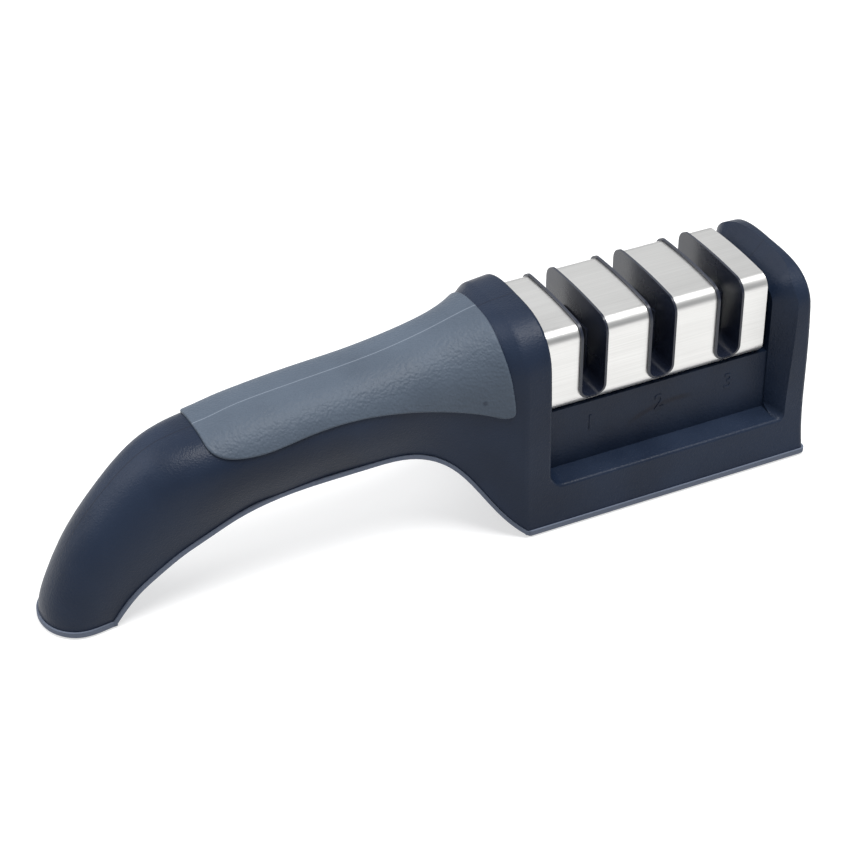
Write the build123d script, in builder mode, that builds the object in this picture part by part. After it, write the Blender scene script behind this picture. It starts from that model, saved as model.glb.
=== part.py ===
"""Pull-through knife sharpener with three stages and a drooping handle, in millimetres, +Z up.

The origin lies on the table, below the middle slot. +X runs to the head end, the handle
reaches to -X, and the blade is pulled along Y. The sharpener stands on the pad below the head
and on the heel of the handle.
"""
import os
from math import cos, hypot, pi, sin

from build123d import *

os.makedirs("parts", exist_ok=True)

# Head: overall sizes of the moulded frame that carries the steel cover
head_left = 41.4            # from the origin to the front of the handle
head_right = 42.2           # from the origin to the outer face of the far wall
near_wall_inner = 34.2      # inner rim of the wall beside the handle
head_half_width = 22.8      # at the seam with the base pad
near_wall_height = 59.6
far_wall_height = 54.9
near_wall_lean = 2.6        # how much narrower the near wall is above than at the seam
far_wall_lean = 2.2
near_wall_square = 3.3      # how square the wall's outline is, 2 is a plain ellipse
far_wall_square = 3.6
near_shoulder_share = 0.76  # where the wall's outline starts to round, share of its height
far_shoulder_share = 0.80
shell_wall = 2.2            # wall of every black moulding
far_edge_round = 1.2        # rounding of the far wall's outer edge
rim_round = 0.8             # rounding of the near wall's rim and of the ledges' edges
front_blend = 2.5           # soft crease where the handle's flare meets the near wall
funnel_foot_round = 2.0     # where the funnel runs into the ledges
pick_range = 1.0            # how near an edge's middle lies to the point that picks it

# Open middle of the head, where the steel cover stands free
recess_bottom = 12.2        # ledge height at the outer face
recess_foot = 13.0          # ledge height at the foot of the pedestal
recess_corner = 4.0
pedestal_inset = 0.9        # how far the block below the steel cover stands back from it
far_wall_thickness = 8.8    # beside the steel cover

# The far wall's inner face grows outward like a funnel, from an arch beside the steel cover
funnel_drop = 6.3           # how far the arch stays below the top of the wall
funnel_inset = 0.3          # how much narrower than the steel cover it is
funnel_corner = 3.4
funnel_low_spread = 21.2    # the same arch at the wall's outer face, past the head's half width
funnel_high_spread = 0.4    # how much narrower than the head it is there above
funnel_rise = 3.1           # how far it stands above the wall there
funnel_spread_corner = 9.0

# Hollow inside the far wall
hollow_inset = 4.0          # from the funnel's edge to the narrow side of the hollow
hollow_depth = 3.5          # from the wall's outer face to where the hollow is widest
hollow_side_wall = 4.8
hollow_roof = 10.9          # from the hollow to the top of the wall

# Steel cover, a bent sheet with three slots
cover_right = 31.3          # from the origin to the end beside the far wall
cover_half_width = 15.3
cover_top = 54.8
cover_bottom = 30.6
cover_shoulder = 3.6        # outer bend radius
cover_crown = 0.8           # rise of the arched top
cover_sheet = 0.5
cover_fit = 0.05            # between the sheet and the slot core or the near wall

# Blade slots
slot_pitch = 20.0
slot_width = 7.9            # in the sheet
slot_floor = 32.8           # lowest point of the cut in the sheet
slot_corner = 3.3
lip_wall = 0.65             # black lip that lines each slot
lip_stand = 0.6             # how far the lip stands proud of the sheet
lip_fit = 0.05

# Handle
handle_length = 123.4       # from the front of the handle to the heel
handle_half_width = 13.4
seam_half_width = 11.0

# Soft grip
grip_stand = 0.7            # how far the grip stands proud of the handle
grip_depth = 0.9            # how deep it is let into the handle
grip_edge = 0.5             # rounding of its outer edge
grip_setback = 2.5          # from the near wall to the lower front corner
grip_length_share = 0.654   # share of the handle's length
grip_low_share = 0.585      # height of the lower front corner, share of the near wall's height
grip_high_share = 0.406     # from there to the near wall's top

# Base
pad_thickness = 2.0         # soft pad below the head and the heel
strip_thickness = 1.0       # the same pad along the handle
pad_margin = 0.5            # how far the pad stands out past the seam
pad_corner = 1.6
pad_edge = 0.7              # bevel of the pad's lower edge
pad_fit = 0.1               # between the strip and what it lies on
plate_thickness = 1.6       # stiff plate inside the lower opening
plate_fit = 0.15

# Slot core and its clamping plate
core_setback = 0.6          # how far the core ends inside the steel cover
core_wall = 1.8
core_side = 13.0            # outer half width of the hollows between the slots
core_inside = 8.4           # inner half width of the same hollows
core_roof = 49.0
neck_length = 57.0          # part of the core that passes through the pedestal
neck_width = 19.0
neck_fit = 0.15
clamp_reach = 1.5           # how far the plate reaches past the neck at its ends
clamp_side_reach = 2.0
clamp_thickness = 2.4

# Cartridges that hold the abrasives
cartridge_length = 14.6     # along X
cartridge_width = 12.8      # along Y
cartridge_top = 47.0
cartridge_slot = 5.4
cartridge_floor = 34.2
cartridge_fit = 0.1
cartridge_edge = 0.5

# Abrasives
crossing_height = 37.2      # where the pair of each stage crosses
diamond_diameter = 4.0
diamond_length = 15.6
diamond_lean = 21.0          # degrees from upright
diamond_offset = 2.25        # from the centre plane along Y
ceramic_diameter = 4.4
ceramic_length = 15.4
ceramic_lean = 18.0
ceramic_offset = 2.45
blade_width = 4.4
blade_length = 14.4
blade_thickness = 2.6
blade_lean = 22.0
blade_offset = 1.5
blade_bevel = 0.4

# Fasteners
screw_shank = 3.0
screw_head = 5.6
screw_head_height = 2.0
screw_length = 9.0
screw_sink = 0.3            # how far the head lies above the plate's lower face
screw_drive = 2.8
screw_drive_width = 0.7
screw_drive_depth = 1.0
screw_reach = 12.0          # length of the boss that takes a screw in the head
head_fit = 0.3
shank_fit = 0.2
boss_diameter = 7.4
far_screw_side = 10.0       # far wall's screws from the centre plane
far_screw_inset = 7.2       # from the far wall's outer face
near_screw_inset = 2.2      # from the near wall's inner rim
handle_screw_share = 0.59   # place of the handle's screw, share of the handle's length
core_screw_shank = 2.5
core_screw_length = 10.0
core_screw_head = 4.6
core_screw_head_height = 1.6

# Cutting bodies run past what they cut by this length
cut_overrun = 5.0

# The handle's stations, from the heel to the head. Each row: ridge point and seam point as
# (share of the handle's length in front of the heel, share of the wall's height above the pad),
# then half width and seam half width, up to 1 as shares of the handle's own and above 1 on the
# way to the near wall's, then where the outline starts to round and how square it is.
station_shares = [
    (0.0000, 0.0000, 0.1232, 0.0000, 0.7687, 0.8727, 0.40, 2.10),
    (0.0162, 0.1302, 0.1426, 0.0590, 0.7836, 0.9091, 0.42, 2.10),
    (0.0470, 0.2691, 0.1791, 0.1424, 0.8060, 0.9364, 0.44, 2.15),
    (0.0956, 0.4271, 0.2237, 0.2135, 0.8433, 0.9636, 0.46, 2.20),
    (0.1605, 0.5799, 0.2715, 0.2760, 0.8881, 0.9727, 0.48, 2.30),
    (0.2301, 0.6997, 0.3225, 0.3264, 0.9403, 0.9818, 0.50, 2.45),
    (0.3104, 0.7552, 0.3793, 0.3802, 0.9851, 0.9909, 0.52, 2.70),
    (0.4117, 0.7917, 0.4562, 0.4271, 1.0000, 1.0000, 0.52, 2.80),
    (0.5413, 0.8264, 0.5575, 0.4497, 1.0000, 1.0000, 0.52, 2.80),
    (0.6710, 0.8507, 0.6710, 0.4549, 0.9925, 1.0000, 0.52, 2.70),
    (0.7844, 0.8837, 0.7844, 0.4410, 1.0150, 1.0340, 0.54, 2.50),
    (0.8614, 0.9201, 0.8614, 0.3559, 1.1180, 1.1860, 0.56, 2.40),
    (0.9182, 0.9531, 0.9182, 0.2083, 1.3530, 1.4660, 0.60, 2.40),
    (0.9627, 0.9757, 0.9627, 0.0747, 1.6760, 1.7630, 0.66, 2.70),
    (1.0000, 0.9896, 1.0000, 0.0000, 2.0000, 2.0000, 0.75, 3.20),
]

# Rim of the soft grip seen from the side, from above the ridge at its rear end, down, along the
# lower edge and up the front, as (share of the grip's length behind its front, share of the
# grip's height above its lowest point)
grip_rim_shares = [
    (0.9700, 0.6325),
    (0.9730, 0.4487),
    (0.9690, 0.3803),
    (0.9440, 0.3077),
    (0.8810, 0.2564),
    (0.8067, 0.2521),
    (0.6803, 0.3077),
    (0.5043, 0.3419),
    (0.3259, 0.2735),
    (0.1512, 0.1197),
    (0.0644, 0.0342),
    (0.0211, 0.0085),
    (0.0037, 0.0385),
    (0.0000, 0.1154),
    (0.0050, 0.3291),
    (0.0136, 0.6154),
    (0.0198, 0.8333),
    (0.0198, 0.9530),
    (0.0198, 1.1453),
]
# Points of a section: shares of the straight flank, then shares of the quarter turn to the ridge
flank_shares = (0.0, 0.5, 1.0)
turn_shares = (0.2, 0.4, 0.6, 0.8, 1.0)
# Places in the table of the stations that the hidden inner faces follow
inner_stations = (0, 1, 3, 5, 7, 9, 11, 13, 14)


def widen(share, own, wall):
    """Half width from a share: up to 1 of the handle's own, above 1 on the way to the wall's."""
    return own * min(share, 1.0) + (wall - own) * max(share - 1.0, 0.0)


def station(shares):
    """Turn one row of shares into lengths: ridge, seam, half widths and the outline's shape."""
    top_x, top_z, seam_x, seam_z, half, seam_half, shoulder, square = shares
    heel = -head_left - handle_length
    rise = near_wall_height - pad_thickness
    return (heel + top_x * handle_length, pad_thickness + top_z * rise,
            heel + seam_x * handle_length, pad_thickness + seam_z * rise,
            widen(half, handle_half_width, head_half_width - near_wall_lean),
            widen(seam_half, seam_half_width, head_half_width), shoulder, square)


def half_outline(row, proud):
    """Points of one side of a station's outline from the seam to the ridge, grown by proud."""
    top_x, top_z, seam_x, seam_z, half, seam_half, shoulder, square = row
    height = hypot(top_x - seam_x, top_z - seam_z)
    full = height + proud
    knee = shoulder * height
    side = []
    for share in flank_shares:
        width = seam_half + (half - seam_half) * sin(pi / 2 * share) + proud
        side.append((width, knee * share))
    for share in turn_shares:
        angle = pi / 2 * share
        width = (half + proud) * cos(angle) ** (2 / square)
        side.append((width, knee + (full - knee) * sin(angle)))
    side[-1] = (0.0, full)
    return side


def station_plane(row):
    """Plane of a station, with its origin on the seam and its second axis toward the ridge."""
    up_x, up_z = row[0] - row[2], row[1] - row[3]
    return Plane(origin=(row[2], 0, row[3]), x_dir=(0, 1, 0), z_dir=(up_z, 0, -up_x))


def section(row, proud=0.0, below=0.0):
    """Smooth outline at one station, grown by proud and carried past the seam by below."""
    side = half_outline(row, proud)
    other = [(-width, rise) for width, rise in reversed(side[:-1])]
    foot = side[0][0]
    with BuildSketch(station_plane(row)) as outline:
        with BuildLine():
            if below > 0:
                Polyline((-foot, 0), (-foot, -below), (foot, -below), (foot, 0))
            else:
                Line((-foot, 0), (foot, 0))
            Spline(*side, *other)
        make_face()
    return outline.sketch.faces()[0]


def inner_section(row, proud, below):
    """The same outline in straight strokes, for faces that are hidden inside."""
    side = half_outline(row, proud)
    other = [(-width, rise) for width, rise in reversed(side[:-1])]
    foot = side[0][0]
    with BuildSketch(station_plane(row)) as outline:
        Polygon((foot, -below), *side, *other, (-foot, -below), align=None)
    return outline.sketch.faces()[0]


def seam_offset(points, distance):
    """Points of the seam seen from the side, moved square to it by distance, upward positive."""
    moved = []
    for index, (x, z) in enumerate(points):
        before = points[max(index - 1, 0)]
        after = points[min(index + 1, len(points) - 1)]
        run = hypot(after[0] - before[0], after[1] - before[1])
        moved.append((x - (after[1] - before[1]) / run * distance,
                      z + (after[0] - before[0]) / run * distance))
    return moved


def flank_width(row, z):
    """Half width of an upright station's flank at a height."""
    share = (z - row[3]) / (row[6] * (row[1] - row[3]))
    return row[5] + (row[4] - row[5]) * sin(pi / 2 * share)


def height_at(rows, x, column):
    """Height of the ridge (column 0) or the seam (column 2) of the handle at x."""
    for first, second in zip(rows, rows[1:]):
        if first[column] <= x <= second[column]:
            share = (x - first[column]) / (second[column] - first[column])
            return first[column + 1] + share * (second[column + 1] - first[column + 1])
    return None


def edges_near(shape, *points):
    """Edges of a shape whose middles lie near one of the points or its mirror image in Y."""
    places = [Vector(x, side * y, z) for x, y, z in points for side in (-1, 1)]
    return [edge for edge in shape.edges()
            if any((edge @ 0.5 - place).length < pick_range for place in places)]


def cover_face(inset):
    """Cross-section inside the steel cover's outer face, moved in by inset."""
    side = cover_half_width - inset
    top = cover_top - inset
    with BuildSketch(Plane.YZ.offset(-cover_left)) as outline:
        with BuildLine():
            Polyline((-side, top - cover_crown), (-side, cover_bottom), (side, cover_bottom),
                     (side, top - cover_crown))
            ThreePointArc((side, top - cover_crown), (0, top), (-side, top - cover_crown))
        make_face()
        corners = outline.vertices().group_by(Axis.Z)[-1]
        fillet(corners, radius=cover_shoulder - inset)
    return outline.sketch.faces()[0]


def slot_body(width, floor, corner):
    """Upright slot with a rounded floor, running through from front to back."""
    tall = cover_top + cut_overrun - floor
    with BuildPart() as body:
        with BuildSketch(Plane.XZ):
            with Locations((0, floor + tall / 2)):
                Rectangle(width, tall)
        extrude(amount=head_half_width, both=True)
        fillet(body.edges().filter_by(Axis.Y).group_by(Axis.Z)[0], radius=corner)
    return body.part


def wall_row(x, height, lean, shoulder, square):
    """Row of an upright station of the head."""
    return (x, height, x, pad_thickness, head_half_width - lean, head_half_width, shoulder,
            square)


handle_rows = [station(shares) for shares in station_shares]
inner_rows = [handle_rows[place] for place in inner_stations]
near_row = wall_row(-near_wall_inner, near_wall_height, near_wall_lean, near_shoulder_share,
                    near_wall_square)
far_row = wall_row(head_right, far_wall_height, far_wall_lean, far_shoulder_share,
                   far_wall_square)
inner_x = -near_wall_inner - shell_wall
inner_row = wall_row(inner_x, near_wall_height, near_wall_lean, near_shoulder_share,
                     near_wall_square)
slot_centres = [-slot_pitch, 0.0, slot_pitch]
head_length = head_left + head_right
far_wall_inner = head_right - far_wall_thickness
pedestal_half_width = cover_half_width - pedestal_inset
ledge_side = flank_width(near_row, recess_bottom)
cover_left = near_wall_inner - cover_fit
cover_length = cover_left + cover_right
plate_gap = shell_wall + plate_fit
cup_rise = screw_sink + screw_head_height + plate_thickness
bore_radius = screw_head / 2 + head_fit

# Places of the four screws that hold the bottom cover: x, y and the height of the plate there
far_screw = head_right - far_screw_inset
handle_screw = -head_left - handle_length * (1 - handle_screw_share)
screw_places = [
    (-near_wall_inner - near_screw_inset, 0.0, pad_thickness),
    (far_screw, -far_screw_side, pad_thickness),
    (far_screw, far_screw_side, pad_thickness),
    (handle_screw, 0.0, height_at(handle_rows, handle_screw, 2)),
]
core_screw_places = [(-slot_pitch / 2, 0.0), (slot_pitch / 2, 0.0)]

# Soft grip: a skin that wraps the handle's back
grip_front = -head_left - grip_setback
grip_length = handle_length * grip_length_share
wall_rise = near_wall_height - pad_thickness
grip_low = pad_thickness + grip_low_share * wall_rise
grip_rim = [(grip_front - back * grip_length, grip_low + rise * grip_high_share * wall_rise)
            for back, rise in grip_rim_shares]
with BuildPart() as soft_grip:
    loft(sections=[section(row, proud=grip_stand) for row in handle_rows])
    loft(sections=[inner_section(row, -grip_depth, cut_overrun) for row in inner_rows],
         ruled=True, mode=Mode.SUBTRACT)
    with BuildSketch(Plane.XZ):
        with BuildLine():
            Spline(*grip_rim)
            Line(grip_rim[-1], grip_rim[0])
        make_face()
    extrude(amount=head_half_width + cut_overrun, both=True, mode=Mode.INTERSECT)
    fillet(soft_grip.faces().sort_by(SortBy.AREA)[-1].edges(), radius=grip_edge)
soft_grip.part.label = "soft_grip"
export_step(soft_grip.part, "parts/soft_grip.step")

# Cutting body for the open middle of the head, with ledges that fall outward
reach = head_half_width + cut_overrun
fall = (recess_foot - recess_bottom) / (head_half_width - pedestal_half_width)
ledge_points = [(-reach, recess_foot - fall * (reach - pedestal_half_width)),
                (-pedestal_half_width, recess_foot), (pedestal_half_width, recess_foot),
                (reach, recess_foot - fall * (reach - pedestal_half_width)),
                (reach, near_wall_height + cut_overrun),
                (-reach, near_wall_height + cut_overrun)]
with BuildPart() as middle_cutter:
    with BuildSketch(Plane.YZ.offset(-near_wall_inner)):
        Polygon(*ledge_points, align=None)
    extrude(amount=near_wall_inner + far_wall_inner)
    near_floor = [edge for edge in middle_cutter.faces().sort_by(Axis.X)[0].edges()
                  if edge.center().Z < recess_foot + recess_corner]
    fillet(near_floor, radius=recess_corner)

# Cutting body that leaves the far wall's funnel standing
funnel_half_width = cover_half_width - funnel_inset
low_spread = head_half_width + funnel_low_spread
high_spread = head_half_width - funnel_high_spread
with BuildPart() as funnel_cutter:
    with BuildSketch(Plane.YZ.offset(far_wall_inner)):
        Polygon(*ledge_points, align=None)
    extrude(amount=head_right - far_wall_inner)
    with BuildSketch(Plane.YZ.offset(far_wall_inner)) as inner_arch:
        Polygon((-funnel_half_width, 0), (funnel_half_width, 0),
                (funnel_half_width, far_wall_height - funnel_drop),
                (-funnel_half_width, far_wall_height - funnel_drop), align=None)
        fillet(inner_arch.vertices().group_by(Axis.Z)[-1], radius=funnel_corner)
    with BuildSketch(Plane.YZ.offset(head_right)) as outer_arch:
        Polygon((-low_spread, 0), (low_spread, 0),
                (high_spread, far_wall_height + funnel_rise),
                (-high_spread, far_wall_height + funnel_rise), align=None)
        fillet(outer_arch.vertices().group_by(Axis.Z)[-1], radius=funnel_spread_corner)
    loft(ruled=True, mode=Mode.SUBTRACT)

with BuildPart() as body_shell:
    loft(sections=[section(row) for row in handle_rows])
    loft(sections=[section(row) for row in (handle_rows[-1], near_row, far_row)], ruled=True)
    add(middle_cutter.part, mode=Mode.SUBTRACT)
    add(funnel_cutter.part, mode=Mode.SUBTRACT)
    # Rounded edges of the frame: near wall's rim and ledges, far wall, front of the handle
    rim_points = [(-near_wall_inner, 0, near_wall_height)]
    rim_points.append(((far_wall_inner + recess_corner - near_wall_inner) / 2, ledge_side,
                       recess_bottom))
    fillet(edges_near(body_shell, *rim_points), radius=rim_round)
    fillet(edges_near(body_shell, (head_right, 0, far_wall_height)), radius=far_edge_round)
    fillet(edges_near(body_shell, (-head_left, 0, handle_rows[-1][1])), radius=front_blend)
    foot_point = (far_wall_inner + funnel_foot_round / 2, (funnel_half_width + ledge_side) / 2,
                  (recess_foot + recess_bottom) / 2)
    fillet(edges_near(body_shell, foot_point), radius=funnel_foot_round)
    # Pedestal below the steel cover
    with BuildSketch(Plane.XY.offset(pad_thickness)):
        with Locations((-near_wall_inner - shell_wall, 0)):
            Rectangle(near_wall_inner + shell_wall + far_wall_inner, pedestal_half_width * 2,
                      align=(Align.MIN, Align.CENTER))
    extrude(amount=cover_bottom - pad_thickness)
    add(soft_grip.part, mode=Mode.SUBTRACT)
    # Hollow of the handle and of the near wall
    loft(sections=[inner_section(row, -shell_wall, pad_thickness) for row in inner_rows],
         ruled=True, mode=Mode.SUBTRACT)
    loft(sections=[inner_section(row, -shell_wall, pad_thickness)
                   for row in (handle_rows[-1], inner_row)], ruled=True, mode=Mode.SUBTRACT)
    # Hollows below the ledges, inside the pedestal and inside the far wall
    with BuildSketch(Plane.XY):
        with Locations((inner_x, 0)):
            Rectangle(head_right - shell_wall - inner_x, (head_half_width - shell_wall) * 2,
                      align=(Align.MIN, Align.CENTER))
    extrude(amount=recess_bottom - shell_wall, mode=Mode.SUBTRACT)
    with BuildSketch(Plane.XY):
        Rectangle((far_wall_inner - shell_wall) * 2, (pedestal_half_width - shell_wall) * 2)
    extrude(amount=cover_bottom - shell_wall, mode=Mode.SUBTRACT)
    with BuildSketch(Plane.XY):
        narrow = funnel_half_width - hollow_inset
        wide = head_half_width - hollow_side_wall
        Polygon((far_wall_inner + shell_wall, -narrow), (head_right - hollow_depth, -wide),
                (head_right - shell_wall, -wide), (head_right - shell_wall, wide),
                (head_right - hollow_depth, wide), (far_wall_inner + shell_wall, narrow),
                align=None)
    extrude(amount=far_wall_height - hollow_roof, mode=Mode.SUBTRACT)
    # Opening for the core's neck
    with BuildSketch(Plane.XY):
        Rectangle(neck_length + neck_fit * 2, neck_width + neck_fit * 2)
    extrude(amount=cover_bottom, mode=Mode.SUBTRACT)
    # Screw bosses
    for x, y, plate in screw_places:
        start = plate + cup_rise
        top = start + screw_reach
        if plate > pad_thickness:
            top = height_at(handle_rows, x, 0) - (shell_wall + grip_depth) / 2
        with BuildSketch(Plane.XY.offset(start)):
            with Locations((x, y)):
                Circle(boss_diameter / 2)
        extrude(amount=top - start)
        with BuildSketch(Plane.XY.offset(start)):
            with Locations((x, y)):
                Circle(screw_shank / 2)
        extrude(amount=screw_length, mode=Mode.SUBTRACT)
body_shell.part.label = "body_shell"
export_step(body_shell.part, "parts/body_shell.step")

# Stiff plate that closes the underside, with a cup round every screw head
seam = [(row[2], row[3]) for row in handle_rows]
plate_top = pad_thickness + plate_thickness
upper = seam_offset(seam, plate_thickness)
upper[0] = (upper[0][0], plate_top)
upper[-1] = (upper[-1][0], plate_top)
with BuildPart() as bottom_cover:
    loft(sections=[inner_section(row, -plate_gap, pad_thickness) for row in inner_rows],
         ruled=True)
    with BuildSketch(Plane.XY.offset(pad_thickness)):
        with Locations((-head_left, 0)):
            Rectangle(head_length - plate_gap, (head_half_width - plate_gap) * 2,
                      align=(Align.MIN, Align.CENTER))
    extrude(amount=plate_thickness)
    with BuildSketch(Plane.XZ):
        with BuildLine():
            Spline(*seam)
            Polyline(seam[-1], (head_right, pad_thickness), (head_right, plate_top), upper[-1])
            Spline(*upper)
            Polyline(upper[0], (handle_rows[0][0], plate_top),
                     (handle_rows[0][0], pad_thickness), seam[0])
        make_face()
    extrude(amount=head_half_width, both=True, mode=Mode.INTERSECT)
    for x, y, plate in screw_places:
        with BuildSketch(Plane.XY.offset(plate)):
            with Locations((x, y)):
                Circle(bore_radius + plate_thickness)
        extrude(amount=cup_rise)
        with BuildSketch(Plane.XY.offset(plate - strip_thickness)):
            with Locations((x, y)):
                Circle(bore_radius)
        extrude(amount=strip_thickness + screw_sink + screw_head_height, mode=Mode.SUBTRACT)
        with BuildSketch(Plane.XY.offset(plate)):
            with Locations((x, y)):
                Circle(screw_shank / 2 + shank_fit)
        extrude(amount=cup_rise, mode=Mode.SUBTRACT)
bottom_cover.part.label = "bottom_cover"
export_step(bottom_cover.part, "parts/bottom_cover.step")

# Soft pad: thick under the head and the heel, a thin strip along the handle
strip_top = seam_offset(seam, -pad_fit)
strip_low = seam_offset(seam, -pad_fit - strip_thickness)
strip_side = [(row[2], row[5] + pad_margin) for row in handle_rows]
strip_end = pad_thickness / 2
with BuildPart() as base_pad:
    with BuildSketch(Plane.XZ):
        with BuildLine():
            Spline(*strip_top)
            Polyline(strip_top[-1], (strip_top[-1][0], strip_end), (strip_low[-1][0], strip_end),
                     strip_low[-1])
            Spline(*strip_low)
            Polyline(strip_low[0], (strip_low[0][0], strip_end), (strip_top[0][0], strip_end),
                     strip_top[0])
        make_face()
    extrude(amount=head_half_width + pad_margin, both=True)
    with BuildSketch(Plane.XY):
        with BuildLine():
            Spline(*strip_side)
            Line(strip_side[-1], (strip_side[-1][0], -strip_side[-1][1]))
            Spline(*[(x, -y) for x, y in strip_side])
            Line(strip_side[0], (strip_side[0][0], -strip_side[0][1]))
        make_face()
    extrude(amount=near_wall_height, mode=Mode.INTERSECT)
    extrude(to_extrude=section(handle_rows[0], proud=pad_margin, below=strip_thickness),
            amount=-pad_thickness)
    with BuildSketch(Plane.XY):
        with Locations(((head_right - head_left) / 2, 0)):
            RectangleRounded(head_length + pad_margin * 2, (head_half_width + pad_margin) * 2,
                             pad_corner)
    extrude(amount=pad_thickness)
    chamfer(base_pad.edges().group_by(Axis.Z)[0], length=pad_edge)
    for x, y, plate in screw_places:
        with BuildSketch(Plane.XY.offset(plate - pad_thickness)):
            with Locations((x, y)):
                Circle(bore_radius + head_fit)
        extrude(amount=pad_thickness * 2, mode=Mode.SUBTRACT)
base_pad.part.label = "base_pad"
export_step(base_pad.part, "parts/base_pad.step")

# Steel cover
with BuildPart() as steel_cover:
    extrude(to_extrude=cover_face(0.0), amount=cover_length)
    extrude(to_extrude=cover_face(cover_sheet), amount=cover_length, mode=Mode.SUBTRACT)
    with Locations([(x, 0, 0) for x in slot_centres]):
        add(slot_body(slot_width, slot_floor, slot_corner), mode=Mode.SUBTRACT)
steel_cover.part.label = "steel_cover"
export_step(steel_cover.part, "parts/steel_cover.step")

# Lips that line the slots, standing proud of the sheet
lip_width = slot_width - lip_fit * 2
lip_floor = slot_floor + lip_fit
with BuildPart() as lips:
    with Locations([(x, 0, 0) for x in slot_centres]):
        add(slot_body(lip_width, lip_floor, slot_corner - lip_fit))
    extrude(to_extrude=cover_face(-lip_stand), amount=cover_length, mode=Mode.INTERSECT)

# Slot core: fills the steel cover, carries the lips and reaches down through the pedestal
core_top = cover_sheet + cover_fit
neck_bottom = cover_bottom - shell_wall
with BuildPart() as slot_core:
    extrude(to_extrude=cover_face(core_top), amount=cover_length)
    with BuildSketch(Plane.XY.offset(cover_bottom)):
        with Locations((core_setback - cover_left, 0)):
            Rectangle(cover_length - core_setback * 2, head_half_width * 2,
                      align=(Align.MIN, Align.CENTER))
    extrude(amount=near_wall_height, mode=Mode.INTERSECT)
    add(lips.part)
    with BuildSketch(Plane.XY.offset(neck_bottom)):
        Rectangle(neck_length, neck_width)
    extrude(amount=shell_wall)
    # Hollows between the slots
    gap = slot_pitch - lip_width - core_wall * 2
    with BuildSketch(Plane.XY.offset(cover_bottom)):
        for side in (-1, 1):
            for x in core_screw_places:
                with Locations((x[0], side * (core_inside + core_side) / 2)):
                    Rectangle(gap, core_side - core_inside)
    extrude(amount=core_roof - cover_bottom, mode=Mode.SUBTRACT)
    # Pockets for the cartridges
    with BuildSketch(Plane.XY.offset(neck_bottom)):
        with Locations([(x, 0) for x in slot_centres]):
            Rectangle(cartridge_length + cartridge_fit * 2, cartridge_width + cartridge_fit * 2)
    extrude(amount=cartridge_top + cartridge_fit - neck_bottom, mode=Mode.SUBTRACT)
    with Locations([(x, 0, 0) for x in slot_centres]):
        add(slot_body(lip_width - lip_wall * 2, lip_floor + lip_wall,
                      slot_corner - lip_fit - lip_wall), mode=Mode.SUBTRACT)
    # Screw holes
    with BuildSketch(Plane.XY.offset(neck_bottom)):
        with Locations(core_screw_places):
            Circle(core_screw_shank / 2)
    extrude(amount=core_screw_length - clamp_thickness, mode=Mode.SUBTRACT)
slot_core.part.label = "slot_core"
export_step(slot_core.part, "parts/slot_core.step")

# Plate that clamps the core to the pedestal from below
with BuildPart() as core_clamp:
    with BuildSketch(Plane.XY.offset(neck_bottom - clamp_thickness)):
        RectangleRounded(neck_length + clamp_reach * 2, neck_width + clamp_side_reach * 2,
                         recess_corner)
        with Locations(core_screw_places):
            Circle(core_screw_shank / 2 + shank_fit, mode=Mode.SUBTRACT)
    extrude(amount=clamp_thickness)
core_clamp.part.label = "core_clamp"
export_step(core_clamp.part, "parts/core_clamp.step")


def abrasive(length, lean, offset, x, diameter=None):
    """A round rod, or a flat blade when no diameter is given, leaning in the XZ plane."""
    with BuildPart() as piece:
        if diameter is not None:
            Cylinder(diameter / 2, length)
        else:
            Box(blade_width, blade_thickness, length)
            chamfer(piece.faces().filter_by(Axis.Z).edges(), length=blade_bevel)
    return Pos(x, offset, crossing_height) * Rot(0, lean, 0) * piece.part


def cartridge(x, pieces):
    """Block that holds one pair of abrasives, slotted in line with the blade slot."""
    with BuildPart() as block:
        with BuildSketch(Plane.XY.offset(neck_bottom)):
            with Locations((x, 0)):
                Rectangle(cartridge_length, cartridge_width)
        extrude(amount=cartridge_top - neck_bottom)
        chamfer(block.edges().filter_by(Axis.Z), length=cartridge_edge)
        with Locations((x, 0, 0)):
            add(slot_body(cartridge_slot, cartridge_floor, cartridge_slot / 3),
                mode=Mode.SUBTRACT)
        for piece in pieces:
            add(piece, mode=Mode.SUBTRACT)
    return block.part


def screws(seats, shank, length, head, head_height):
    """Screws that point upward, with the upper faces of their heads at the given seats."""
    with BuildPart() as group:
        for x, y, z in seats:
            with Locations((x, y, z)):
                Cylinder(head / 2, head_height, align=(Align.CENTER, Align.CENTER, Align.MAX))
                Cylinder(shank / 2, length, align=(Align.CENTER, Align.CENTER, Align.MIN))
            with Locations((x, y, z - head_height)):
                for long_side, short_side in ((screw_drive, screw_drive_width),
                                              (screw_drive_width, screw_drive)):
                    Box(long_side, short_side, screw_drive_depth, mode=Mode.SUBTRACT,
                        align=(Align.CENTER, Align.CENTER, Align.MIN))
    return group.part


def finish(piece, name):
    """Name a finished piece and write it."""
    piece.label = name
    export_step(piece, f"parts/{name}.step")


diamond_rods = [abrasive(diamond_length, side * diamond_lean, side * diamond_offset, -slot_pitch,
                         diameter=diamond_diameter) for side in (-1, 1)]
carbide_blades = [abrasive(blade_length, side * blade_lean, side * blade_offset, 0)
                  for side in (-1, 1)]
ceramic_rods = [abrasive(ceramic_length, side * ceramic_lean, side * ceramic_offset, slot_pitch,
                         diameter=ceramic_diameter) for side in (-1, 1)]
stages = (("diamond", "rod", diamond_rods), ("carbide", "blade", carbide_blades),
          ("ceramic", "rod", ceramic_rods))
for (stage, kind, pair), x in zip(stages, slot_centres):
    finish(cartridge(x, pair), f"{stage}_cartridge")
    for place, piece in zip(("front", "back"), pair):
        finish(piece, f"{stage}_{kind}_{place}")

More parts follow.
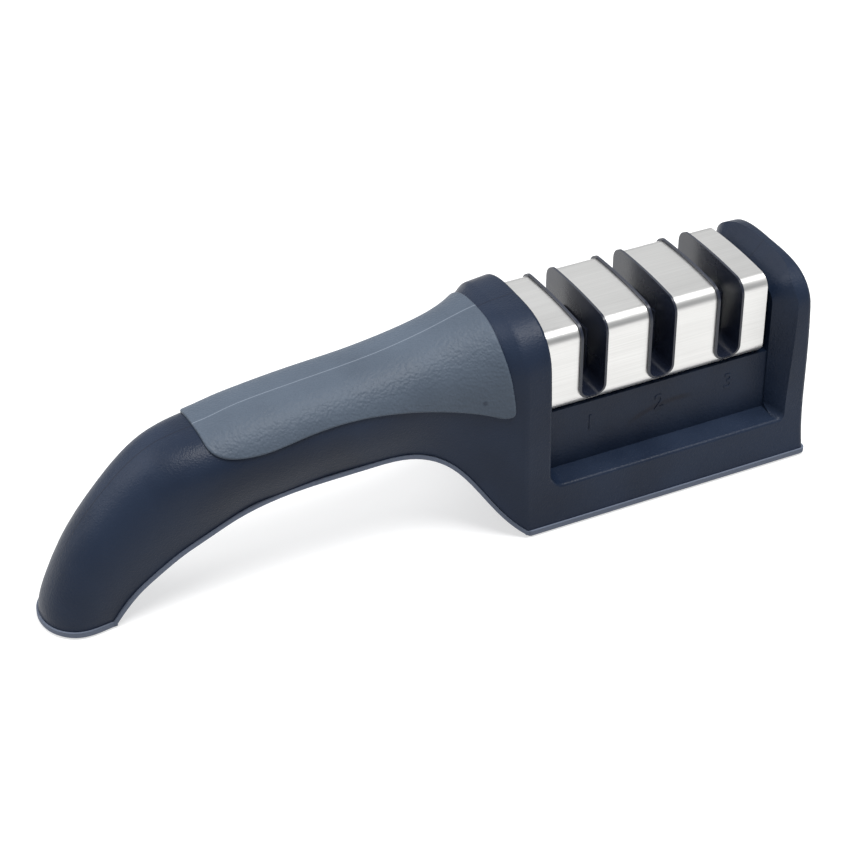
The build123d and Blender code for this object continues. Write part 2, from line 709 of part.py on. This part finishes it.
# Screws
cover_seats = [(x, y, plate + screw_sink + screw_head_height) for x, y, plate in screw_places]
finish(screws(cover_seats, screw_shank, screw_length, screw_head, screw_head_height),
       "cover_screws")
clamp_seats = [(x, y, neck_bottom - clamp_thickness) for x, y in core_screw_places]
finish(screws(clamp_seats, core_screw_shank, core_screw_length, core_screw_head,
              core_screw_head_height), "core_screws")
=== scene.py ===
# %% [markdown]
# # Pull-through knife sharpener
# A tabletop sharpener: a black moulded handle and frame, a soft grey grip, a grey pad below, and
# a brushed steel cover with three slots. Its shape comes from the CAD model, which stays as it
# is. This notebook adds what the shape alone can't say: materials, the parting line, the moulded
# digits, light, floor and camera.

# %% Load the CAD model
import math
import bmesh
import bpy
from mathutils import Matrix, Vector


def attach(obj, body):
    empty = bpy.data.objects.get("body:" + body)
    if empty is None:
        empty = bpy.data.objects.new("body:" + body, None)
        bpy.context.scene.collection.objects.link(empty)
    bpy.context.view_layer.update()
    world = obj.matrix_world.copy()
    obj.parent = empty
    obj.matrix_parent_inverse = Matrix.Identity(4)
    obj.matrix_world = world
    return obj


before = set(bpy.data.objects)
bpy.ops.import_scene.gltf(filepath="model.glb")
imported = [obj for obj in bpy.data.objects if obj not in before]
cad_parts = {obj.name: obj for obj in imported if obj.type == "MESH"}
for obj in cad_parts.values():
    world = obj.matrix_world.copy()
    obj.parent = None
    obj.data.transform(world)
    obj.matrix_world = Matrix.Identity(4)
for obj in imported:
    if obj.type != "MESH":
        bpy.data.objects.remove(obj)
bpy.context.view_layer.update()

MM = 0.001

# %% [markdown]
# ## Materials from one helper
# Every material here is a Principled shader plus a few nodes that vary colour, roughness and
# bump. A small helper adds nodes and links them, so that each recipe below reads as a list of
# steps. Textures take object coordinates, which stay fixed to the piece, in metres.

# %% A helper that builds node trees
class Recipe:
    """A node tree being built: node() adds one, and sockets can be numbers or other sockets."""

    def __init__(self, tree):
        self.tree = tree

    def node(self, kind, out=0, props=None, **inputs):
        made = self.tree.nodes.new(kind)
        for key, value in (props or {}).items():
            setattr(made, key, value)
        for key, value in inputs.items():
            name = key.replace("_", " ")
            socket = made.inputs[int(key[1:])] if key[1:].isdigit() else made.inputs[name]
            if isinstance(value, bpy.types.NodeSocket):
                self.tree.links.new(value, socket)
            else:
                socket.default_value = value
        return made.outputs[out]

    def math(self, operation, a, b=0.0, clamp=False):
        return self.node("ShaderNodeMath", props={"operation": operation, "use_clamp": clamp},
                         i0=a, i1=b)

    def remap(self, value, low, high, to_low=0.0, to_high=1.0):
        return self.node("ShaderNodeMapRange", Value=value, From_Min=low, From_Max=high,
                         To_Min=to_low, To_Max=to_high)

    def mix(self, factor, a, b):
        return self.node("ShaderNodeMix", out=2, props={"data_type": "RGBA"},
                         i0=factor, i6=a, i7=b)

    def stretch(self, vector, scale):
        return self.node("ShaderNodeMapping", Vector=vector, Scale=scale)

    def noise(self, vector, scale, detail=2.0, roughness=0.5):
        return self.node("ShaderNodeTexNoise", Vector=vector, Scale=scale, Detail=detail,
                         Roughness=roughness)

    def axes(self, vector):
        """X, Y and Z of a vector."""
        self.node("ShaderNodeSeparateXYZ", Vector=vector)
        return self.tree.nodes[-1].outputs

    def spot(self, vector, centre, radii):
        """1 in the middle of a soft ellipsoid, 0 outside it, sizes in millimetres."""
        scale = tuple(1000.0 / radius for radius in radii)
        shift = tuple(-place / radius for place, radius in zip(centre, radii))
        local = self.node("ShaderNodeMapping", Vector=vector, Location=shift, Scale=scale)
        far = self.node("ShaderNodeVectorMath", out=1, props={"operation": "LENGTH"}, i0=local)
        return self.remap(far, 1.0, 0.4)


def new_material(name):
    """An empty material with its Principled shader, and its recipe and object coordinates."""
    made = bpy.data.materials.new(name)
    made.use_nodes = True
    recipe = Recipe(made.node_tree)
    shader = made.node_tree.nodes["Principled BSDF"]
    place = recipe.node("ShaderNodeTexCoord", out=3)
    return made, recipe, shader, place


def plug(recipe, shader, **inputs):
    """Link or set inputs of a Principled shader."""
    for key, value in inputs.items():
        socket = shader.inputs[key.replace("_", " ")]
        if isinstance(value, bpy.types.NodeSocket):
            recipe.tree.links.new(value, socket)
        else:
            socket.default_value = value


print("helper ready")

# %% [markdown]
# ## Moulded grain, one group for all the plastics
# A mould is etched with a fine grain, so light breaks into tiny specks along every highlight.
# Voronoi cells, softened by noise, look like etched pits. The group gives a normal and a value
# for roughness, and each material chooses the grain's size and depth.

# %% The grain group
def grain_group():
    """Node group: etched grain of a chosen cell size and depth, both in metres."""
    tree = bpy.data.node_groups.new("moulded_grain", "ShaderNodeTree")
    face = tree.interface
    face.new_socket("Vector", in_out="INPUT", socket_type="NodeSocketVector")
    for name, value in (("Cell", 0.0004), ("Depth", 0.00002), ("Strength", 0.5)):
        face.new_socket(name, in_out="INPUT", socket_type="NodeSocketFloat").default_value = value
    face.new_socket("Normal", in_out="OUTPUT", socket_type="NodeSocketVector")
    face.new_socket("Height", in_out="OUTPUT", socket_type="NodeSocketFloat")
    recipe = Recipe(tree)
    inputs = tree.nodes.new("NodeGroupInput").outputs
    scale = recipe.math("DIVIDE", 1.0, inputs["Cell"])
    cells = recipe.node("ShaderNodeTexVoronoi", props={"feature": "SMOOTH_F1"},
                        Vector=inputs["Vector"], Scale=scale, Smoothness=0.6)
    fine = recipe.noise(inputs["Vector"], recipe.math("MULTIPLY", scale, 0.55), detail=3.0)
    height = recipe.math("ADD", recipe.math("MULTIPLY", cells, 0.6),
                         recipe.math("MULTIPLY", fine, 0.8))
    bump = recipe.node("ShaderNodeBump", Strength=inputs["Strength"], Distance=inputs["Depth"],
                       Height=height)
    ends = tree.nodes.new("NodeGroupOutput")
    tree.links.new(bump, ends.inputs["Normal"])
    tree.links.new(height, ends.inputs["Height"])
    return tree


GRAIN = grain_group()


def grain(recipe, place, cell, depth, strength):
    """The group's node in a material; its outputs are the normal and the height."""
    made = recipe.tree.nodes.new("ShaderNodeGroup")
    made.node_tree = GRAIN
    recipe.tree.links.new(place, made.inputs["Vector"])
    for name, value in (("Cell", cell), ("Depth", depth), ("Strength", strength)):
        made.inputs[name].default_value = value
    return made.outputs


print("grain group:", GRAIN.name)

# %% [markdown]
# ## The parting line
# The two halves of the mould meet in the middle plane of the sharpener, and leave a hair line
# along the ridge of the handle, over the grip and over the tops of both walls. Every moulded
# piece has it, so it is a group too: a mask that is 1 on the line, made from the distance to
# the plane Y = 0, and only on faces that look upward, because hidden faces inside have no line.

# %% The parting line group
def parting_group():
    """Node group: mask of the line where the mould's halves meet."""
    tree = bpy.data.node_groups.new("parting_line", "ShaderNodeTree")
    face = tree.interface
    face.new_socket("Vector", in_out="INPUT", socket_type="NodeSocketVector")
    face.new_socket("Normal", in_out="INPUT", socket_type="NodeSocketVector")
    face.new_socket("Width", in_out="INPUT", socket_type="NodeSocketFloat").default_value = 0.0002
    face.new_socket("Mask", in_out="OUTPUT", socket_type="NodeSocketFloat")
    recipe = Recipe(tree)
    inputs = tree.nodes.new("NodeGroupInput").outputs
    wander = recipe.remap(recipe.noise(inputs["Vector"], 90.0), 0.3, 0.7, -0.00004, 0.00004)
    side = recipe.math("ADD", recipe.axes(inputs["Vector"])["Y"], wander)
    near = recipe.math("DIVIDE", recipe.math("ABSOLUTE", side), inputs["Width"])
    upward = recipe.remap(recipe.axes(inputs["Normal"])["Z"], 0.35, 0.6)
    mask = recipe.math("MULTIPLY", recipe.remap(near, 1.0, 0.35), upward)
    ends = tree.nodes.new("NodeGroupOutput")
    tree.links.new(mask, ends.inputs["Mask"])
    return tree


PARTING = parting_group()


def parting_line(recipe, place, width):
    """The mask of the line in a material."""
    made = recipe.tree.nodes.new("ShaderNodeGroup")
    made.node_tree = PARTING
    recipe.tree.links.new(place, made.inputs["Vector"])
    normal = recipe.node("ShaderNodeTexCoord", out=1)
    recipe.tree.links.new(normal, made.inputs["Normal"])
    made.inputs["Width"].default_value = width
    return made.outputs["Mask"]


print("parting group:", PARTING.name)

# %% [markdown]
# ## Black moulded plastic, with painted shade on its panel
# The frame, the handle and the bottom cover are one blue-black plastic with a fine etched grain.
# It isn't quite one colour: broad soft noise shifts it a little, as handling does. Plastic that
# is etched reflects little, so the specular level is low, and the grain breaks what is left into
# specks along the shoulders, which is what tells the eye that this is plastic. On the panel
# below the steel cover a shallow dark arc shows, as it does on the real one. It is painted shade
# along the edge of a soft raised band. Its mask is the distance to a circle, faded out at both
# ends and kept to the depth of the panel.

# %% The painted shade arc on the panel
# Painted shade: a dark arc that stands in for the shade along the edge of a soft raised band on
# the panel.
ARC_SHADE_PLACE = (-0.0066, 0.0, 0.0082)     # moves the arc's centre to the origin, in metres
ARC_SHADE_RADIUS = 0.0320
ARC_SHADE_SOFT_EDGE = (0.0011, 0.0003)       # distance from the arc: outside the painted shade, inside it
ARC_SHADE_MIDDLE_X = 0.0014
ARC_SHADE_ENDS = (0.0102, 0.0065)            # distance from its middle: outside, inside
PANEL_IN_FRONT = (-0.0135, -0.0142)     # Y of the panel's face, from behind and from the front
PANEL_BEHIND = (-0.0148, -0.0145)


def panel_arc_shade(recipe, place):
    """Mask of the painted shade: a shallow dark arc that crosses the panel below the steel cover.
    """
    axes = recipe.axes(place)
    flat = recipe.node("ShaderNodeMapping", Vector=place, Location=ARC_SHADE_PLACE,
                       Scale=(1.0, 0.0, 1.0))
    far = recipe.node("ShaderNodeVectorMath", out=1, props={"operation": "LENGTH"}, i0=flat)
    off_arc = recipe.math("ABSOLUTE", recipe.math("SUBTRACT", far, ARC_SHADE_RADIUS))
    off_middle = recipe.math("ABSOLUTE", recipe.math("SUBTRACT", axes["X"], ARC_SHADE_MIDDLE_X))
    # painted shade: the arc darkens the panel where the raised band's edge would be shaded
    arc_shade = recipe.math("MULTIPLY", recipe.remap(off_arc, *ARC_SHADE_SOFT_EDGE),
                       recipe.remap(off_middle, *ARC_SHADE_ENDS))
    panel = recipe.math("MULTIPLY", recipe.remap(axes["Y"], *PANEL_IN_FRONT),
                        recipe.remap(axes["Y"], *PANEL_BEHIND))
    return recipe.math("MULTIPLY", arc_shade, panel)


print("mark radius in mm:", ARC_SHADE_RADIUS / MM)

# %% Black plastic
def black_plastic():
    """Blue-black etched plastic with the parting line and the painted shade arc on the panel."""
    made, recipe, shader, place = new_material("black_plastic")
    cloud = recipe.noise(place, 38.0, detail=3.0)
    colour = recipe.mix(recipe.remap(cloud, 0.35, 0.65), (0.0060, 0.0115, 0.026, 1),
                        (0.0122, 0.0208, 0.042, 1))
    line = parting_line(recipe, place, 0.00022)
    # the dark colour holds the parting line, a real hair line, and the painted shade of the arc
    # on the panel
    dark = recipe.math("ADD", recipe.math("MULTIPLY", panel_arc_shade(recipe, place), 0.9),
                       recipe.math("MULTIPLY", line, 0.75), clamp=True)
    colour = recipe.mix(dark, colour, (0.004, 0.006, 0.015, 1))
    etched = grain(recipe, place, cell=0.00036, depth=0.00011, strength=0.75)
    rough = recipe.math("ADD", recipe.remap(cloud, 0.3, 0.7, 0.30, 0.42),
                        recipe.math("MULTIPLY", etched["Height"], 0.08))
    plug(recipe, shader, Base_Color=colour, Roughness=rough, Normal=etched["Normal"])
    shader.inputs["Specular IOR Level"].default_value = 0.19
    return made


BLACK = black_plastic()
print("made", BLACK.name)

# %% [markdown]
# ## Soft grip
# A second, rubbery plastic is moulded over the handle's back. It is grey-blue, its grain is
# coarser than the black plastic's, and its highlight is broad and full of small sparkles. The
# parting line is paler here than the grip, and a small round dot shows where the mould was fed.

# %% Soft grip rubber
GRIP_FEED = (-51.2, -16.5, 40.8)        # where the mould was fed, in millimetres
FEED_RADII = (0.85, 0.85, 1.0)


def grip_rubber(name, dark, light, cell, depth, rough, specular):
    """Grey rubber between two colours; rough is its lowest roughness."""
    made, recipe, shader, place = new_material(name)
    cloud = recipe.noise(place, 55.0, detail=4.0)
    colour = recipe.mix(recipe.remap(cloud, 0.3, 0.7), dark, light)
    line = parting_line(recipe, place, 0.0002)
    colour = recipe.mix(recipe.math("MULTIPLY", line, 0.35), colour, (0.30, 0.34, 0.40, 1))
    feed = recipe.spot(place, GRIP_FEED, FEED_RADII)
    colour = recipe.mix(recipe.math("MULTIPLY", feed, 0.85), colour, (0.03, 0.04, 0.06, 1))
    etched = grain(recipe, place, cell, depth, strength=0.8)
    rough = recipe.math("ADD", recipe.remap(cloud, 0.3, 0.7, rough, rough + 0.1),
                        recipe.math("MULTIPLY", etched["Height"], 0.1))
    plug(recipe, shader, Base_Color=colour, Roughness=rough, Normal=etched["Normal"])
    shader.inputs["Specular IOR Level"].default_value = specular
    return made


GRIP = grip_rubber("soft_grip_rubber", dark=(0.057, 0.074, 0.100, 1),
                   light=(0.074, 0.095, 0.126, 1), cell=0.0007, depth=0.00026, rough=0.4,
                   specular=0.22)
PAD = grip_rubber("base_pad_rubber", dark=(0.10, 0.118, 0.16, 1), light=(0.12, 0.14, 0.187, 1),
                  cell=0.0006, depth=0.0001, rough=0.5, specular=0.22)
print("made", GRIP.name, "and", PAD.name)

# %% [markdown]
# ## Brushed stainless steel
# The cover is sheet steel, brushed along its length. Brushing is thousands of fine parallel
# scratches, so the fine noise is stretched about 90 times along X: it varies quickly across the
# brush and hardly at all along it. The same streaks drive roughness and a very shallow bump.

# %% Brushed steel
FINE_BRUSH = (45.0, 4200.0, 4200.0)     # noise cells per metre along X, Y and Z
BROAD_BRUSH = (20.0, 420.0, 420.0)


def brushed_steel():
    """Steel whose streaks run along X, with a few faint stains."""
    made, recipe, shader, place = new_material("brushed_steel")
    fine = recipe.noise(recipe.stretch(place, FINE_BRUSH), 1.0, detail=3.0)
    broad = recipe.noise(recipe.stretch(place, BROAD_BRUSH), 1.0, detail=2.0)
    stain = recipe.noise(place, 75.0, detail=2.0)
    streak = recipe.math("ADD", recipe.math("MULTIPLY", fine, 0.65),
                         recipe.math("MULTIPLY", broad, 0.35))
    colour = recipe.mix(recipe.remap(streak, 0.3, 0.7), (0.60, 0.595, 0.58, 1),
                        (0.71, 0.705, 0.69, 1))
    rough = recipe.math("ADD", recipe.remap(streak, 0.3, 0.7, 0.30, 0.38),
                        recipe.remap(stain, 0.35, 0.75, 0.0, 0.08))
    bump = recipe.node("ShaderNodeBump", Strength=0.2, Distance=0.00002, Height=streak)
    plug(recipe, shader, Base_Color=colour, Roughness=rough, Normal=bump)
    shader.inputs["Metallic"].default_value = 1.0
    return made


STEEL = brushed_steel()
print("made", STEEL.name)

# %% [markdown]
# ## Core, abrasives and screws
# The slot core is a smoother, glossier black than the body, so that the lips round each slot
# catch a thin line of light. Inside sit grey diamond-plated rods, ground carbide blades and
# pale ceramic rods. The screws below are plain bright steel.

# %% Small parts' materials
def plain_finish(name, dark, light, scale, rough, metallic=0.0, cell=0.0003, depth=0.00002):
    """A plain surface between two colours; scale is that of its soft patches."""
    made, recipe, shader, place = new_material(name)
    cloud = recipe.noise(place, scale, detail=3.0)
    colour = recipe.mix(recipe.remap(cloud, 0.3, 0.7), dark, light)
    etched = grain(recipe, place, cell, depth, strength=0.5)
    plug(recipe, shader, Base_Color=colour, Normal=etched["Normal"],
         Roughness=recipe.remap(cloud, 0.3, 0.7, rough, rough + 0.1))
    shader.inputs["Metallic"].default_value = metallic
    return made


CORE = plain_finish("core_plastic", (0.008, 0.011, 0.022, 1), (0.012, 0.016, 0.03, 1), 60.0,
                    0.22, cell=0.0006, depth=0.00002)
DIAMOND = plain_finish("diamond_plate", (0.16, 0.16, 0.155, 1), (0.34, 0.34, 0.33, 1), 2500.0,
                       0.42, metallic=0.7, cell=0.00018, depth=0.00009)
CARBIDE = plain_finish("ground_carbide", (0.30, 0.31, 0.33, 1), (0.42, 0.43, 0.45, 1), 300.0,
                       0.25, metallic=0.9)
CERAMIC = plain_finish("fine_ceramic", (0.74, 0.73, 0.68, 1), (0.84, 0.83, 0.78, 1), 150.0,
                       0.35)
SCREW = plain_finish("screw_steel", (0.42, 0.42, 0.43, 1), (0.6, 0.6, 0.61, 1), 200.0, 0.22,
                     metallic=1.0)
print("made", [m.name for m in (CORE, DIAMOND, CARBIDE, CERAMIC, SCREW)])

# %% Give every CAD piece its material
FINISHES = {
    "body_shell": BLACK, "soft_grip": GRIP, "bottom_cover": BLACK, "base_pad": PAD,
    "steel_cover": STEEL, "slot_core": CORE, "core_clamp": CORE,
    "diamond_cartridge": CORE, "carbide_cartridge": CORE, "ceramic_cartridge": CORE,
    "diamond_rod_front": DIAMOND, "diamond_rod_back": DIAMOND,
    "carbide_blade_front": CARBIDE, "carbide_blade_back": CARBIDE,
    "ceramic_rod_front": CERAMIC, "ceramic_rod_back": CERAMIC,
    "cover_screws": SCREW, "core_screws": SCREW,
}
for node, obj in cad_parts.items():
    obj.data.materials.clear()
    obj.data.materials.append(FINISHES[node])
print("dressed", len(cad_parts), "pieces")

# %% [markdown]
# ## Moulded digits
# Below each slot a small digit, 1 to 3, stands on the panel and says in which order the stages
# are used. On the real part the digits are cut into the mould, so they stand a little proud of
# the plastic. A text curve is the quickest way to get their outlines: it is extruded, made a
# mesh, and then its points are moved to the panel, so that the object itself stays at the origin.

# %% Digits below the slots
PANEL_Y = -14.4 * MM
DIGIT_HEIGHT = 4.6 * MM
DIGIT_PROUD = 0.14 * MM
DIGIT_EDGE = 0.05 * MM
SIZE_PER_HEIGHT = 1.38      # a font's size is larger than its digits are tall
DIGIT_PLACES = (("1", -19.5, 22.0), ("2", 1.0, 22.2), ("3", 22.0, 22.4))


def digit(text, x, z):
    """A raised digit on the panel, with its foot's middle at x and z."""
    curve = bpy.data.curves.new(f"digit_{text}_curve", "FONT")
    curve.body = text
    curve.size = DIGIT_HEIGHT * SIZE_PER_HEIGHT
    curve.extrude = DIGIT_PROUD
    curve.bevel_depth = DIGIT_EDGE
    curve.bevel_resolution = 1
    curve.resolution_u = 6
    curve.align_x = "CENTER"
    shaped = bpy.data.objects.new("shaping", curve)
    bpy.context.collection.objects.link(shaped)
    bpy.context.view_layer.update()
    mesh = bpy.data.meshes.new_from_object(shaped)
    bpy.data.objects.remove(shaped)
    bpy.data.curves.remove(curve)
    upright = Matrix.Translation((x, PANEL_Y, z)) @ Matrix.Rotation(math.pi / 2, 4, "X")
    solid = bmesh.new()
    solid.from_mesh(mesh)
    bmesh.ops.remove_doubles(solid, verts=solid.verts, dist=0.002 * MM)
    bmesh.ops.transform(solid, matrix=upright, verts=solid.verts)
    bmesh.ops.recalc_face_normals(solid, faces=solid.faces)
    solid.to_mesh(mesh)
    solid.free()
    mesh.materials.clear()
    mesh.materials.append(BLACK)
    mesh.name = f"digit_{text}"
    obj = bpy.data.objects.new(f"digit_{text}", mesh)
    bpy.context.collection.objects.link(obj)
    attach(obj, "root")
    return obj


digits = [digit(text, x * MM, z * MM) for text, x, z in DIGIT_PLACES]
print("digits:", [len(d.data.polygons) for d in digits], "faces")

# %% [markdown]
# ## Camera
# The camera stands where the photograph was taken: in front of the handle's end, about 65 cm
# away, looking down at 35 degrees. A camera looks along its own -Z, so its turn comes from the
# direction to the target.

# %% Camera
SENSOR = 36.0
FOCAL_SHARE = 2500.0 / 862.0            # focal length over the picture's width
camera_data = bpy.data.cameras.new("photo_camera")
camera = bpy.data.objects.new("photo_camera", camera_data)
bpy.context.collection.objects.link(camera)
target = Vector((-51.44, 13.35, 13.70)) * MM
camera.location = Vector((-289.6, -467.6, 393.1)) * MM
camera.rotation_euler = (target - camera.location).to_track_quat("-Z", "Y").to_euler()
camera_data.lens = SENSOR * FOCAL_SHARE
camera_data.sensor_width = SENSOR
camera_data.clip_start = 0.01
bpy.context.scene.camera = camera
print("camera distance in mm:", round((target - camera.location).length / MM, 1))

# %% [markdown]
# ## Floor and light
# The photograph's ground is pure white, and studio light comes from all round. The floor is a
# large plane whose own colour is a middle grey, so that it throws little light back at the
# object's sides, which are dark in the photograph. Light of its own, for the camera and for
# reflections only, lifts it to white where nothing shades it, and leaves the soft shadow
# below the object. The key lamp hangs above the front, the fill lamp stands by the handle, and a
# wide panel behind the object shines in the steel's top and along the upper shoulders. A pale
# world light fills the rest.

# %% Floor
FLOOR_GLOW = 0.62
FLOOR_GAP = 0.05 * MM       # keeps the floor and the pad's lower face from sharing a plane


def studio_floor():
    """A large pale plane that shines a little for the camera and in reflections."""
    mesh = bpy.data.meshes.new("floor")
    sheet = bmesh.new()
    bmesh.ops.create_grid(sheet, x_segments=1, y_segments=1, size=4.0,
                          matrix=Matrix.Translation((0, 0, -FLOOR_GAP)))
    sheet.to_mesh(mesh)
    sheet.free()
    obj = bpy.data.objects.new("floor", mesh)
    bpy.context.collection.objects.link(obj)
    made, recipe, shader, place = new_material("floor_white")
    cloud = recipe.noise(place, 3.0)
    plug(recipe, shader, Base_Color=recipe.mix(cloud, (0.44, 0.44, 0.44, 1),
                                               (0.46, 0.46, 0.46, 1)))
    shader.inputs["Roughness"].default_value = 0.9
    shader.inputs["Specular IOR Level"].default_value = 0.0
    glow = recipe.tree.nodes.new("ShaderNodeEmission")
    glow.inputs["Strength"].default_value = FLOOR_GLOW
    both = recipe.tree.nodes.new("ShaderNodeAddShader")
    choose = recipe.tree.nodes.new("ShaderNodeMixShader")
    path = recipe.tree.nodes.new("ShaderNodeLightPath")
    seen = recipe.math("MAXIMUM", path.outputs["Is Camera Ray"], path.outputs["Is Glossy Ray"])
    recipe.tree.links.new(shader.outputs[0], both.inputs[0])
    recipe.tree.links.new(glow.outputs[0], both.inputs[1])
    recipe.tree.links.new(seen, choose.inputs[0])
    recipe.tree.links.new(shader.outputs[0], choose.inputs[1])
    recipe.tree.links.new(both.outputs[0], choose.inputs[2])
    end = recipe.tree.nodes["Material Output"]
    recipe.tree.links.new(choose.outputs[0], end.inputs["Surface"])
    mesh.materials.append(made)
    return obj


floor = studio_floor()
print("floor:", floor.name)

# %% Lamps and world
LAMP_AIM = Vector((-0.03, 0, 0.03))


def lamp(name, place, size, power):
    """A rectangular lamp that faces the object; sizes in metres, power in watts."""
    data = bpy.data.lights.new(name, "AREA")
    data.shape = "RECTANGLE"
    data.size, data.size_y = size
    data.energy = power
    obj = bpy.data.objects.new(name, data)
    bpy.context.collection.objects.link(obj)
    obj.location = place
    obj.rotation_euler = (LAMP_AIM - obj.location).to_track_quat("-Z", "Y").to_euler()
    return obj


key = lamp("key_lamp", Vector((0.12, -0.25, 1.2)), (0.8, 0.5), 19.0)
back = lamp("back_panel", Vector((0.1, 1.3, 0.9)), (1.8, 0.9), 3.2)
fill = lamp("fill_lamp", Vector((-0.9, 0.5, 0.8)), (0.8, 0.8), 8.0)
world = bpy.data.worlds.new("studio")
bpy.context.scene.world = world
world.use_nodes = True
world.node_tree.nodes["Background"].inputs["Color"].default_value = (0.95, 0.97, 1.0, 1)
world.node_tree.nodes["Background"].inputs["Strength"].default_value = 0.45
bpy.context.scene.view_settings.view_transform = "Standard"
print("lamps:", key.name, back.name, fill.name)
